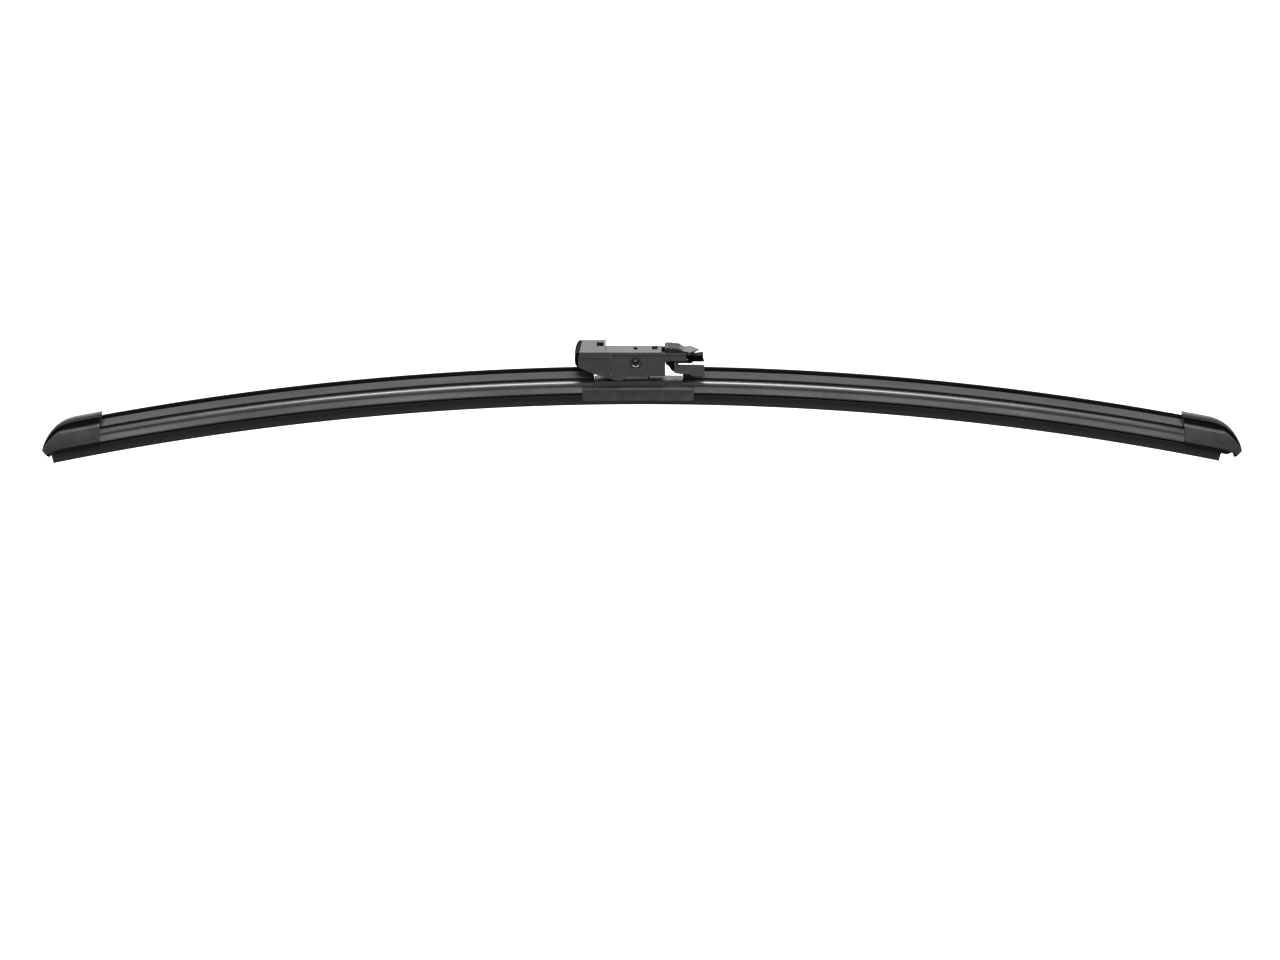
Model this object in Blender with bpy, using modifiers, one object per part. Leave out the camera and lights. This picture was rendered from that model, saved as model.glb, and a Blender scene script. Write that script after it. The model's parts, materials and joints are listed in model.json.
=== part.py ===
"""Beam-type windshield wiper blade with its quick-fit arm adapter, for Blender 4.5.

The row frame has its origin on the adapter's arm seat, +X along the blade and +Z away from the glass.
Every size below is in millimetres. MM turns it into Blender's metres where a mesh is made.
The blade is a constant arc, so its long parts are sections spun about the arc's centre.
"""
import math

import bmesh
import bpy
from mathutils import Matrix, Vector

MM = 0.001
GAP = 0.3                      # air left between neighbouring parts

# Blade
ARC_RADIUS = 1423.0            # radius of the wiping edge
EDGE_Z = -28.5                 # wiping edge at mid blade, below the arm seat
BLADE_HALF = 298.9             # half the blade, as arc length at the wiping edge
RUBBER_LEFT = 295.1            # the wiping rubber stops short of both cap noses
RUBBER_RIGHT = 289.2
RAIL_HALF = 286.0
ARC_STEP = 24.0                # arc length of one facet on the long parts

# Rails, and the claws that hold them
RAIL_INNER = 1.0
RAIL_OUTER = 4.2
RAIL_LOW = 8.15
RAIL_HIGH = 9.05
CLAW_INNER = 3.2
CLAW_LOW = 7.2
HEAD_HALF = 2.6                # rubber head above and below the rails
HEAD_LOW = 7.0
HEAD_HIGH = 10.0

# Spoiler
SPOILER_HALF = 5.5
SPOILER_TOP = 19.2
SPOILER_LEFT_END = 23.5        # the spoilers stop short of the adapter's tower
SPOILER_RIGHT_END = 20.0

# End caps
CAP_LENGTH = 31.0
CAP_NOSE_LENGTH = 19.0
CAP_NOSE_HEIGHT = 8.3
CAP_TOP = 21.5
CAP_BASE = 4.9
CAP_STATIONS = 12

# Connector on the blade
COVER_LEFT = -29.2
COVER_RIGHT = 25.4
SKIRT_HALF = 7.2
SKIRT_LOW = 3.9
SKIRT_HIGH = 9.4
BODY_HALF = 5.0
BODY_LOW = 11.4
BODY_TOP = 13.7
BRACKET_LEFT = -22.0
BRACKET_RIGHT = 17.6
PLATE_HALF = 5.2
PLATE_HIGH = 10.95
CLAW_LENGTH = 9.0              # each of the bracket's four claws along the blade

# Pivot
PIVOT_X = -3.2
PIVOT_Z = -5.2
RIVET_RADIUS = 2.5
RIVET_RECESS = 1.5              # radius of the blind recess in each end
RIVET_HALF = 6.1
TOWER_INNER = 2.4
TOWER_OUTER = 3.6
TOWER_EYE = 3.4                # radius of the tower's rounded top
TOWER_LEFT = -9.5
TOWER_RIGHT = 3.1
BUSH_RADIUS = 3.3
ROUND_SIDES = 32

# Adapter
ADAPTER_HALF = 6.85
CHANNEL_HALF = 5.4
SEAT_LEFT = -17.0
SEAT_RIGHT = 9.5
PLATE_LOW = -1.5
JAW_END = 22.2
JAW_LOW = -4.4
TRAY_FLOOR = -2.9
WALL_RIGHT = 11.5
WALL_LOW = -12.0
TONGUE_LEFT = -30.7
TONGUE_HALF = 3.0
TONGUE_LOW = -5.0
TONGUE_HIGH = -2.6
FORK_TOP = -6.75
FORK_LOW = -11.1
FORK_NECK = 17.0               # right face of the neck between the two jaws
PRONG_INNER = 4.2
STOP_HALF = 3.2
FORK_END = 30.9
EDGE_ROUND = 0.35              # rounded edge of the adapter's mouldings

# Release latch
LATCH_X = 12.6
LATCH_Z = -1.25
LATCH_HALF = 5.1
BEAK_HALF = 6.3                # the beak widens past the end of the upper jaw
TRUNNION_RADIUS = 0.9
TRUNNION_HALF = 6.0
LATCH_LOW = -2.0
LATCH_TIP = 28.4


def blade_point(along, across, height):
    """Point in metres at an arc length, a distance across and a height above the wiping edge."""
    angle = along / ARC_RADIUS
    reach = ARC_RADIUS + height
    x = reach * math.sin(angle)
    z = EDGE_Z - ARC_RADIUS + reach * math.cos(angle)
    return Vector((x, across, z)) * MM


def arc_points(centre, radius, start, end, count):
    """Points on a circular arc, from one angle in degrees to another."""
    angles = [math.radians(start + (end - start) * i / count) for i in range(count + 1)]
    return [(centre[0] + radius * math.cos(a), centre[1] + radius * math.sin(a)) for a in angles]


def mirrored(half):
    """Closed outline from its half at positive first coordinate, listed from top to bottom."""
    return half + [(-y, h) for y, h in reversed(half)]


def add_object(name, mesh_or_bm, collection):
    """Object of one mesh, linked to a collection."""
    mesh = mesh_or_bm
    if isinstance(mesh_or_bm, bmesh.types.BMesh):
        mesh = bpy.data.meshes.new(name)
        bmesh.ops.recalc_face_normals(mesh_or_bm, faces=mesh_or_bm.faces)
        mesh_or_bm.to_mesh(mesh)
        mesh_or_bm.free()
    obj = bpy.data.objects.new(name, mesh)
    collection.objects.link(obj)
    return obj


def spun(name, outline, start, end, collection=None):
    """Solid of one section across the blade, spun between two arc lengths."""
    bm = bmesh.new()
    face = bm.faces.new([bm.verts.new(blade_point(start, y, h)) for y, h in outline])
    bmesh.ops.spin(
        bm,
        geom=list(face.verts) + list(face.edges) + [face],
        cent=Vector((0.0, 0.0, EDGE_Z - ARC_RADIUS)) * MM,
        axis=(0.0, 1.0, 0.0),
        angle=(end - start) / ARC_RADIUS,
        steps=max(1, round((end - start) / ARC_STEP)),
    )
    return add_object(name, bm, collection or parts)


def extruded(name, outline, low, high, collection=None, rounding=0.0):
    """Solid of a side outline in X and Z, from one Y to another, made from a filled 2D curve."""
    curve = bpy.data.curves.new(name, "CURVE")
    curve.dimensions = "2D"
    curve.fill_mode = "BOTH"
    curve.extrude = (high - low) / 2 * MM
    spline = curve.splines.new("POLY")
    spline.points.add(len(outline) - 1)
    for point, (x, z) in zip(spline.points, outline):
        point.co = (x * MM, z * MM, 0.0, 1.0)
    spline.use_cyclic_u = True
    flat = bpy.data.objects.new(name + "_outline", curve)
    scratch.objects.link(flat)
    flat.rotation_euler = (math.pi / 2, 0.0, 0.0)
    flat.location = (0.0, (low + high) / 2 * MM, 0.0)
    depsgraph = bpy.context.evaluated_depsgraph_get()
    mesh = bpy.data.meshes.new_from_object(flat.evaluated_get(depsgraph))
    mesh.transform(flat.matrix_world)
    bm = bmesh.new()
    bm.from_mesh(mesh)
    bmesh.ops.remove_doubles(bm, verts=bm.verts, dist=0.00001)
    bpy.data.objects.remove(flat)
    bpy.data.meshes.remove(mesh)
    obj = add_object(name, bm, collection or parts)
    if rounding:
        bevel = obj.modifiers.new("rounded_edges", "BEVEL")
        bevel.width = rounding * MM
        bevel.segments = 1
        bevel.limit_method = "ANGLE"
        bevel.angle_limit = math.radians(50)
    return obj


def block(name, low, high, collection=None):
    """Box between two corners."""
    low, high = Vector(low) * MM, Vector(high) * MM
    bm = bmesh.new()
    bmesh.ops.create_cube(bm, size=1.0)
    place = Matrix.Translation((low + high) / 2) @ Matrix.Diagonal((high - low).to_4d())
    bmesh.ops.transform(bm, matrix=place, verts=bm.verts)
    return add_object(name, bm, collection or parts)


def prism(name, corners, depth):
    """Cutter made from one flat face, extruded along a vector."""
    bm = bmesh.new()
    face = bm.faces.new([bm.verts.new(Vector(corner) * MM) for corner in corners])
    lifted = bmesh.ops.extrude_face_region(bm, geom=[face])["geom"]
    moved = [v for v in lifted if isinstance(v, bmesh.types.BMVert)]
    bmesh.ops.translate(bm, vec=Vector(depth) * MM, verts=moved)
    return add_object(name, bm, cutters)


def cross_rod(name, radius, x, z, low, high, collection=None):
    """Cylinder along Y about an axis at X and Z."""
    bm = bmesh.new()
    bmesh.ops.create_cone(
        bm, cap_ends=True, segments=ROUND_SIDES, radius1=radius * MM, radius2=radius * MM,
        depth=(high - low) * MM,
    )
    place = Matrix.Translation(Vector((x, (low + high) / 2, z)) * MM)
    bmesh.ops.transform(bm, matrix=place @ Matrix.Rotation(math.pi / 2, 4, "X"), verts=bm.verts)
    return add_object(name, bm, collection or parts)


def combine(obj, operation, *tools):
    """Boolean modifiers that cut tools out of a part, or join them to it."""
    for tool in tools:
        tool.hide_render = True
        tool.display_type = "WIRE"
        modifier = obj.modifiers.new(tool.name, "BOOLEAN")
        modifier.operation = operation
        modifier.solver = "EXACT"
        modifier.object = tool


def put_on(obj, pivot):
    """Parent a part to an empty, so that its origin lies on the joint's axis."""
    obj.data.transform(Matrix.Translation(-pivot.location))
    obj.parent = pivot


def paint(obj, colour, roughness, metallic=0.0):
    """Give a part its own Principled BSDF material."""
    material = bpy.data.materials.new(obj.name)
    material.use_nodes = True
    shader = material.node_tree.nodes["Principled BSDF"]
    shader.inputs["Base Color"].default_value = (*colour, 1.0)
    shader.inputs["Roughness"].default_value = roughness
    shader.inputs["Metallic"].default_value = metallic
    obj.data.materials.clear()
    obj.data.materials.append(material)


def wiper_rubber():
    """One extrusion: a tapered lip under two shoulders, a thin neck, and a head grooved for the rails."""
    half = [
        (HEAD_HALF, HEAD_HIGH), (HEAD_HALF, RAIL_HIGH + GAP / 2),
        (RAIL_INNER - GAP, RAIL_HIGH + GAP / 2), (RAIL_INNER - GAP, RAIL_LOW - GAP / 2),
        (HEAD_HALF, RAIL_LOW - GAP / 2), (HEAD_HALF, HEAD_LOW),
        (0.55, 6.75), (0.55, 6.35), (2.8, 6.0), (2.8, 5.3), (1.5, 4.5), (0.7, 2.6), (0.35, 0.0),
    ]
    obj = spun("wiper_rubber", mirrored(half), -RUBBER_LEFT, RUBBER_RIGHT)
    paint(obj, (0.012, 0.012, 0.013), 0.7)
    return obj


def flexor(name, side):
    """Flat spring-steel rail; side is -1 in front and +1 behind."""
    inner, outer = side * RAIL_INNER, side * RAIL_OUTER
    outline = [(inner, RAIL_LOW), (outer, RAIL_LOW), (outer, RAIL_HIGH), (inner, RAIL_HIGH)]
    obj = spun(name, outline, -RAIL_HALF, RAIL_HALF)
    paint(obj, (0.42, 0.43, 0.45), 0.32, 1.0)
    return obj


def spoiler_outline():
    """Section of the spoiler: a claw over the rails, a front shoulder, and a fin leaning back."""
    slot = RAIL_OUTER + GAP
    inside = [
        (SPOILER_HALF, CLAW_LOW), (CLAW_INNER, CLAW_LOW), (CLAW_INNER, RAIL_LOW - GAP),
        (slot, RAIL_LOW - GAP), (slot, RAIL_HIGH + GAP), (HEAD_HALF + GAP, RAIL_HIGH + GAP),
        (HEAD_HALF + GAP, HEAD_HIGH + GAP),
    ]
    front = [
        (-SPOILER_HALF, 11.4), (-5.1, 12.3), (-4.4, 12.9), (-3.0, 13.4), (-2.0, 13.5), (-1.3, 14.2),
        (-0.5, 15.4), (0.2, 16.4), (0.9, 17.3), (0.9, 18.7), (1.3, SPOILER_TOP),
    ]
    back = [(2.3, SPOILER_TOP), (2.8, 18.6), (2.9, 15.0), (3.6, 13.1), (4.9, 12.2), (SPOILER_HALF, 11.2)]
    return front + back + inside + [(-y, h) for y, h in reversed(inside)]


def spoiler(name, start, end):
    """Co-extruded spoiler on one half of the blade."""
    obj = spun(name, spoiler_outline(), start, end)
    paint(obj, (0.02, 0.02, 0.022), 0.45)
    return obj


def cap_section(reach):
    """Section of an end cap at a distance in from the nose's tip."""
    nose = 1 - (1 - min(reach, CAP_NOSE_LENGTH) / CAP_NOSE_LENGTH) ** 2
    top = CAP_NOSE_HEIGHT + (CAP_TOP - CAP_NOSE_HEIGHT) * nose ** 0.85
    wide = 0.42 + 0.58 * nose ** 0.5
    if reach < 3.0:
        base = 7.7 - 3.5 * math.sin(math.pi / 2 * reach / 3.0)
    else:
        base = min(CAP_BASE, 4.2 + 0.2 * (reach - 3.0))
    rise = (top - base) / (CAP_TOP - CAP_BASE)
    outline = [
        (-3.9, 4.9), (-6.5, 7.0), (-6.6, 8.2), (-5.4, 11.4), (-3.4, 16.7), (-2.3, 17.1), (-1.3, 17.4),
        (-1.4, 19.7), (-0.6, 20.9), (1.2, 21.5), (2.5, 20.9), (3.0, 19.2), (3.3, 15.0), (4.6, 12.6),
        (6.2, 10.6), (6.5, 8.2), (6.4, 7.0), (3.9, 4.9),
    ]
    return [(y * wide, base + (h - CAP_BASE) * rise) for y, h in outline]


def end_cap(name, side):
    """Moulded cap over the rails' ends; side is -1 on the left and +1 on the right."""
    bm = bmesh.new()
    inner = CAP_LENGTH
    reaches = [inner * (i / CAP_STATIONS) ** 1.6 for i in range(CAP_STATIONS + 1)]
    rings = []
    for reach in reaches:
        along = side * (BLADE_HALF - reach)
        rings.append([bm.verts.new(blade_point(along, y, h)) for y, h in cap_section(reach)])
    count = len(rings[0])
    for ring, following in zip(rings, rings[1:]):
        for i in range(count):
            j = (i + 1) % count
            bm.faces.new((ring[i], ring[j], following[j], following[i]))
    bm.faces.new(rings[0])
    bm.faces.new(rings[-1])
    obj = add_object(name, bm, parts)
    mouth = side * (BLADE_HALF - CAP_LENGTH - 1.0)
    head_end = side * (RUBBER_LEFT + GAP)
    rail_end = side * (RAIL_HALF + GAP)
    head_half = HEAD_HALF + 0.8
    head = [(head_half, 11.3), (head_half, -1.0), (-head_half, -1.0), (-head_half, 11.3)]
    slot = RAIL_OUTER + GAP
    rail = [(slot, RAIL_HIGH + GAP), (slot, RAIL_LOW - GAP), (-slot, RAIL_LOW - GAP), (-slot, RAIL_HIGH + GAP)]
    combine(
        obj, "DIFFERENCE",
        spun(name + "_head_pocket", head, *sorted((mouth, head_end)), cutters),
        spun(name + "_rail_pocket", rail, *sorted((mouth, rail_end)), cutters),
    )
    paint(obj, (0.024, 0.024, 0.026), 0.5)
    return obj


def end_clip(name, side):
    """Steel staple over the rubber's head inside an end cap; it stands on both rails."""
    half = [(3.1, 10.95), (3.1, RAIL_HIGH + 0.1), (2.75, RAIL_HIGH + 0.1), (2.75, 10.5)]
    start, end = sorted((side * 276.0, side * 283.0))
    obj = spun(name, mirrored(half), start, end)
    paint(obj, (0.5, 0.51, 0.53), 0.35, 1.0)
    return obj


def connector_bracket():
    """Steel bracket: a plate on the rails, four claws under them, and two uprights for the rivet."""
    slot = RAIL_OUTER + GAP
    half = [
        (PLATE_HALF - 1.0, PLATE_HIGH), (PLATE_HALF, PLATE_HIGH - 1.0), (PLATE_HALF, CLAW_LOW),
        (CLAW_INNER, CLAW_LOW), (CLAW_INNER, RAIL_LOW - GAP), (slot, RAIL_LOW - GAP),
        (slot, RAIL_HIGH + GAP), (HEAD_HALF + GAP, RAIL_HIGH + GAP), (HEAD_HALF + GAP, HEAD_HIGH + GAP),
    ]
    obj = spun("connector_bracket", mirrored(half), BRACKET_LEFT, BRACKET_RIGHT)
    between = [(6.0, RAIL_HIGH + GAP), (6.0, 6.0), (-6.0, 6.0), (-6.0, RAIL_HIGH + GAP)]
    combine(
        obj, "DIFFERENCE",
        spun("bracket_claw_gap", between, BRACKET_LEFT + CLAW_LENGTH, BRACKET_RIGHT - CLAW_LENGTH, cutters),
    )
    foot = EDGE_Z + PLATE_HIGH - 0.4
    eye = (PIVOT_X, PIVOT_Z)
    upright = [(TOWER_LEFT, foot), (TOWER_RIGHT, foot), (TOWER_RIGHT, -12.5)]
    upright += arc_points(eye, TOWER_EYE, -15, 195, 14)
    upright += [(TOWER_LEFT, -12.5)]
    for side, low, high in (("front", -TOWER_OUTER, -TOWER_INNER), ("rear", TOWER_INNER, TOWER_OUTER)):
        combine(obj, "UNION", extruded("bracket_upright_" + side, upright, low, high, cutters))
    hole = cross_rod("bracket_rivet_hole", RIVET_RADIUS + 0.03, *eye, -5.0, 5.0, cutters)
    combine(obj, "DIFFERENCE", hole)
    paint(obj, (0.3, 0.31, 0.32), 0.4, 1.0)
    return obj


def connector_cover():
    """Plastic skirt over the bracket, open below for the rubber and above for the uprights."""
    half = [
        (BODY_HALF, BODY_TOP), (BODY_HALF, BODY_LOW), (SKIRT_HALF, SKIRT_HIGH), (SKIRT_HALF, SKIRT_LOW),
        (5.5, SKIRT_LOW), (5.5, 10.05), (4.45, PLATE_HIGH + GAP),
    ]
    obj = spun("connector_cover", mirrored(half), COVER_LEFT, COVER_RIGHT)
    room = SPOILER_HALF + GAP
    pocket = [(room, 25.0), (room, 3.0), (-room, 3.0), (-room, 25.0)]
    left_room = (COVER_LEFT - 1.0, GAP - SPOILER_LEFT_END)
    right_room = (SPOILER_RIGHT_END - GAP, COVER_RIGHT + 1.0)
    roof = EDGE_Z + BODY_TOP
    combine(
        obj, "DIFFERENCE",
        block(
            "cover_tower_hole", (TOWER_LEFT - 0.6, -TOWER_OUTER - GAP, roof - 4.0),
            (TOWER_RIGHT + 0.6, TOWER_OUTER + GAP, roof + 2.0), cutters,
        ),
    )
    for name, (start, end) in (("left", left_room), ("right", right_room)):
        cut = spun("cover_spoiler_room_" + name, pocket, start, end, cutters)
        combine(obj, "DIFFERENCE", cut)
    for side in (-1, 1):
        y_low, y_high = sorted((side * room, side * SKIRT_HALF))
        tie = [(y_high, 5.2), (y_high, SKIRT_LOW), (y_low, SKIRT_LOW), (y_low, 5.2)]
        combine(obj, "UNION", spun("cover_tie_%s" % ("front" if side < 0 else "rear"), tie,
                                   COVER_LEFT + 0.5, COVER_RIGHT - 0.5, cutters))
    paint(obj, (0.022, 0.022, 0.024), 0.5)
    return obj


def pivot_rivet():
    """Steel rivet through both uprights, with a blind recess where each end is riveted over."""
    obj = cross_rod("pivot_rivet", RIVET_RADIUS, PIVOT_X, PIVOT_Z, -RIVET_HALF, RIVET_HALF)
    for side in (-1, 1):
        low, high = sorted((side * (RIVET_HALF - 1.8), side * (RIVET_HALF + 1)))
        name = "rivet_recess_%s" % ("front" if side < 0 else "rear")
        combine(obj, "DIFFERENCE", cross_rod(name, RIVET_RECESS, PIVOT_X, PIVOT_Z, low, high, cutters))
    paint(obj, (0.62, 0.63, 0.65), 0.25, 1.0)
    return obj


def pivot_bush(name, side):
    """Plastic bush on the rivet, between an upright and the adapter's wall."""
    low, high = sorted((side * (TOWER_OUTER + 0.1), side * (CHANNEL_HALF - GAP)))
    obj = cross_rod(name, BUSH_RADIUS, PIVOT_X, PIVOT_Z, low, high)
    bore = cross_rod(name + "_bore", RIVET_RADIUS + 0.05, PIVOT_X, PIVOT_Z, low - 1, high + 1, cutters)
    combine(obj, "DIFFERENCE", bore)
    paint(obj, (0.35, 0.35, 0.34), 0.5)
    return obj


def adapter_housing():
    """Channel-shaped moulding: arm seat on top, a wall each side, the upper jaw and the slider's tongue."""
    outline = [
        (SEAT_LEFT, 0.0), (JAW_END, 0.0), (JAW_END, JAW_LOW), (WALL_RIGHT, JAW_LOW),
        (WALL_RIGHT, WALL_LOW), (-7.5, WALL_LOW), (-9.5, -14.3), (-12.5, -14.5), (-15.0, -13.8),
        (SEAT_LEFT, -12.9),
    ]
    obj = extruded("adapter_housing", outline, -ADAPTER_HALF, ADAPTER_HALF, rounding=EDGE_ROUND)
    tongue = (TONGUE_LEFT, -TONGUE_HALF, TONGUE_LOW), (SEAT_LEFT + 1.0, TONGUE_HALF, TONGUE_HIGH)
    channel = [
        (SEAT_LEFT + 1.8, PLATE_LOW), (9.0, PLATE_LOW), (9.0, JAW_LOW - 0.25),
        (WALL_RIGHT + 1.0, JAW_LOW - 0.25),
        (WALL_RIGHT + 1.0, -20.0), (SEAT_LEFT - 1.0, -20.0), (SEAT_LEFT - 1.0, -6.0), (SEAT_LEFT + 1.8, -6.0),
    ]
    combine(obj, "UNION", block("housing_tongue", *tongue, cutters))
    combine(
        obj, "DIFFERENCE",
        extruded("housing_channel", channel, -CHANNEL_HALF, CHANNEL_HALF, cutters),
        block("housing_tray", (9.8, -CHANNEL_HALF, TRAY_FLOOR), (JAW_END - 0.8, CHANNEL_HALF, 2.0), cutters),
        block("housing_beak_way", (20.0, -CHANNEL_HALF, -2.45), (JAW_END + 1, CHANNEL_HALF, 2.0), cutters),
        block("housing_fork_slot", (13.7, -2.8, -5.0), (16.8, 2.8, -3.6), cutters),
        block("housing_stop_slot", (18.9, -2.8, -5.0), (JAW_END + 1, 2.8, -1.0), cutters),
        block("housing_window_small", (-4.3, -2.0, -3.0), (-2.3, 2.0, 1.0), cutters),
        block("housing_window_large", (4.5, -3.2, -3.0), (8.0, 3.2, 1.0), cutters),
        cross_rod("housing_bore", RIVET_RADIUS + 0.1, PIVOT_X, PIVOT_Z, -8.0, 8.0, cutters),
        cross_rod("housing_recess_front", 2.95, PIVOT_X, PIVOT_Z, -8.0, -6.2, cutters),
        cross_rod("housing_recess_rear", 2.95, PIVOT_X, PIVOT_Z, 6.2, 8.0, cutters),
        cross_rod("housing_trunnion_seats", TRUNNION_RADIUS + 0.06, LATCH_X, LATCH_Z,
                  -TRUNNION_HALF - 0.15, TRUNNION_HALF + 0.15, cutters),
    )
    paint(obj, (0.045, 0.046, 0.05), 0.5)
    return obj


def lock_slider():
    """End cap of the adapter, which slides outwards on the tongue; its walls straddle the spoiler."""
    outline = [
        (SEAT_LEFT - GAP, 3.0), (-29.8, 3.0), (-31.2, 1.8), (-32.4, -0.4), (-33.1, -2.4), (-33.4, -4.2),
        (-32.9, -6.1), (-31.4, -7.5), (-26.9, -9.6), (-22.9, -11.3), (-21.3, -11.8), (SEAT_LEFT - GAP, -12.9),
    ]
    obj = extruded("lock_slider", outline, -ADAPTER_HALF, ADAPTER_HALF, rounding=EDGE_ROUND)
    above = [(-36.0, -8.0, -0.45), (-36.0, 8.0, 3.05), (-36.0, 8.0, 6.0), (-36.0, -8.0, 6.0)]
    combine(
        obj, "DIFFERENCE",
        prism("slider_tilted_top", above, (20.0, 0.0, 0.0)),
        block("slider_grip_hole", (-22.0, 1.0, -0.6), (-19.2, 3.8, 4.0), cutters),
        block("slider_channel", (-36.0, -CHANNEL_HALF, -20.0), (-16.0, CHANNEL_HALF, -6.4), cutters),
        block("slider_pocket", (TONGUE_LEFT - GAP, -TONGUE_HALF - GAP, TONGUE_LOW - GAP),
              (-16.0, TONGUE_HALF + GAP, TONGUE_HIGH + GAP), cutters),
    )
    paint(obj, (0.045, 0.046, 0.05), 0.5)
    return obj


def lower_fork():
    """Lower jaw: a neck keyed into the upper jaw, and two prongs that straddle the spoiler."""
    outline = [
        (WALL_RIGHT + GAP, JAW_LOW - GAP), (FORK_NECK, JAW_LOW - GAP), (FORK_NECK, FORK_TOP),
        (FORK_END, FORK_TOP), (FORK_END, -10.4), (30.2, -11.7), (28.6, -12.2), (25.4, -12.2),
        (24.4, -11.7), (23.6, -11.2), (18.9, FORK_LOW), (16.9, -10.6), (14.9, -9.8), (13.2, -7.2),
        (WALL_RIGHT + GAP, -6.6),
    ]
    obj = extruded("lower_fork", outline, -ADAPTER_HALF, ADAPTER_HALF)
    relief = [
        (22.5, 3.0, -20.0), (22.5, 3.0, -10.5), (27.5, 3.0, -7.7), (FORK_END + 2, 3.0, -7.7),
        (FORK_END + 2, 3.0, -20.0),
    ]
    combine(
        obj, "DIFFERENCE",
        block("fork_mouth", (FORK_NECK, -PRONG_INNER, -20.0), (FORK_END + 2, PRONG_INNER, -4.0), cutters),
        prism("fork_rear_relief", relief, (0.0, 6.0, 0.0)),
    )
    combine(obj, "UNION", block("fork_key", (14.0, -2.5, -6.0), (16.5, 2.5, -3.9), cutters))
    paint(obj, (0.06, 0.061, 0.066), 0.5)
    return obj


def arm_stop():
    """Black rubber stop at the mouth of the jaws, on a shank held in the upper jaw's floor."""
    outline = [
        (19.2, TRAY_FLOOR), (25.0, TRAY_FLOOR), (30.3, -2.2), (30.3, -4.9), (29.7, -5.5), (23.3, -5.6),
        (22.8, -5.0), (22.8, JAW_LOW), (19.2, JAW_LOW),
    ]
    obj = extruded("arm_stop", outline, -STOP_HALF, STOP_HALF)
    for side in (-1, 1):
        low, high = sorted((side * 2.5, side * 9.0))
        name = "stop_shank_%s" % ("front" if side < 0 else "rear")
        combine(obj, "DIFFERENCE", block(name, (18.0, low, -8.0), (JAW_END + GAP, high, 0.0), cutters))
    paint(obj, (0.008, 0.008, 0.009), 0.35)
    return obj


def release_latch():
    """Thumb pad and beak in one moulding, on two trunnions in the upper jaw's rims."""
    outline = [
        (11.2, LATCH_LOW), (19.5, LATCH_LOW), (22.5, -1.5), (24.5, -1.2), (LATCH_TIP, -0.3), (LATCH_TIP, 0.0),
        (20.6, 0.15), (18.4, 1.6), (12.4, 2.2), (11.2, 1.7),
    ]
    obj = extruded("release_latch", outline, -BEAK_HALF, BEAK_HALF)
    plan = [
        (10.0, LATCH_HALF), (JAW_END + GAP, LATCH_HALF), (JAW_END + GAP, BEAK_HALF + 0.2), (23.8, BEAK_HALF - 0.2),
        (25.0, 5.0), (26.9, 1.7), (LATCH_TIP + 1.0, 0.3), (LATCH_TIP + 1.0, 9.0), (10.0, 9.0),
    ]
    for side in (-1, 1):
        corners = [(x, side * y, -4.0) for x, y in plan]
        name = "latch_plan_%s" % ("front" if side < 0 else "rear")
        combine(obj, "DIFFERENCE", prism(name, corners, (0.0, 0.0, 8.0)))
    trunnions = cross_rod("latch_trunnions", TRUNNION_RADIUS, LATCH_X, LATCH_Z, -TRUNNION_HALF, TRUNNION_HALF,
                          cutters)
    combine(obj, "UNION", trunnions)
    paint(obj, (0.07, 0.071, 0.076), 0.45)
    return obj


def latch_spring():
    """Bent steel leaf under the thumb pad."""
    thickness = 0.15
    top = [(13.9, -2.55), (16.0, -2.5), (19.0, -2.2)]
    outline = top + [(x, z - thickness) for x, z in reversed(top)]
    obj = extruded("latch_spring", outline, -2.0, 2.0)
    paint(obj, (0.6, 0.61, 0.63), 0.25, 1.0)
    return obj


for old in list(bpy.data.objects):
    bpy.data.objects.remove(old)
parts = bpy.data.collections.new("windshield_wiper_blade")
cutters = bpy.data.collections.new("cutters")
scratch = bpy.data.collections.new("scratch")
for group in (parts, cutters, scratch):
    bpy.context.scene.collection.children.link(group)

blade_pivot = bpy.data.objects.new("blade_pivot", None)
blade_pivot.location = Vector((PIVOT_X, 0.0, PIVOT_Z)) * MM
latch_pivot = bpy.data.objects.new("latch_pivot", None)
latch_pivot.location = Vector((LATCH_X, 0.0, LATCH_Z)) * MM
for empty in (blade_pivot, latch_pivot):
    parts.objects.link(empty)

blade_parts = [
    wiper_rubber(),
    flexor("flexor_front", -1),
    flexor("flexor_rear", 1),
    spoiler("spoiler_left", CAP_LENGTH + GAP - BLADE_HALF, -SPOILER_LEFT_END),
    spoiler("spoiler_right", SPOILER_RIGHT_END, BLADE_HALF - CAP_LENGTH - GAP),
    end_cap("end_cap_left", -1),
    end_cap("end_cap_right", 1),
    end_clip("end_clip_left", -1),
    end_clip("end_clip_right", 1),
    connector_bracket(),
    connector_cover(),
    pivot_rivet(),
    pivot_bush("pivot_bush_front", -1),
    pivot_bush("pivot_bush_rear", 1),
]
for part in blade_parts:
    put_on(part, blade_pivot)
adapter_housing()
lock_slider()
lower_fork()
arm_stop()
put_on(release_latch(), latch_pivot)
latch_spring()
bpy.data.collections.remove(scratch)
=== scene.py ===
"""Looks of the windshield wiper blade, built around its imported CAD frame.

Sizes are in millimetres in the part's own frame: +X along the blade, -Y the face that the photo shows,
+Z away from the glass. MM turns them into Blender's metres where a mesh is made.
"""

import json
import math

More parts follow.
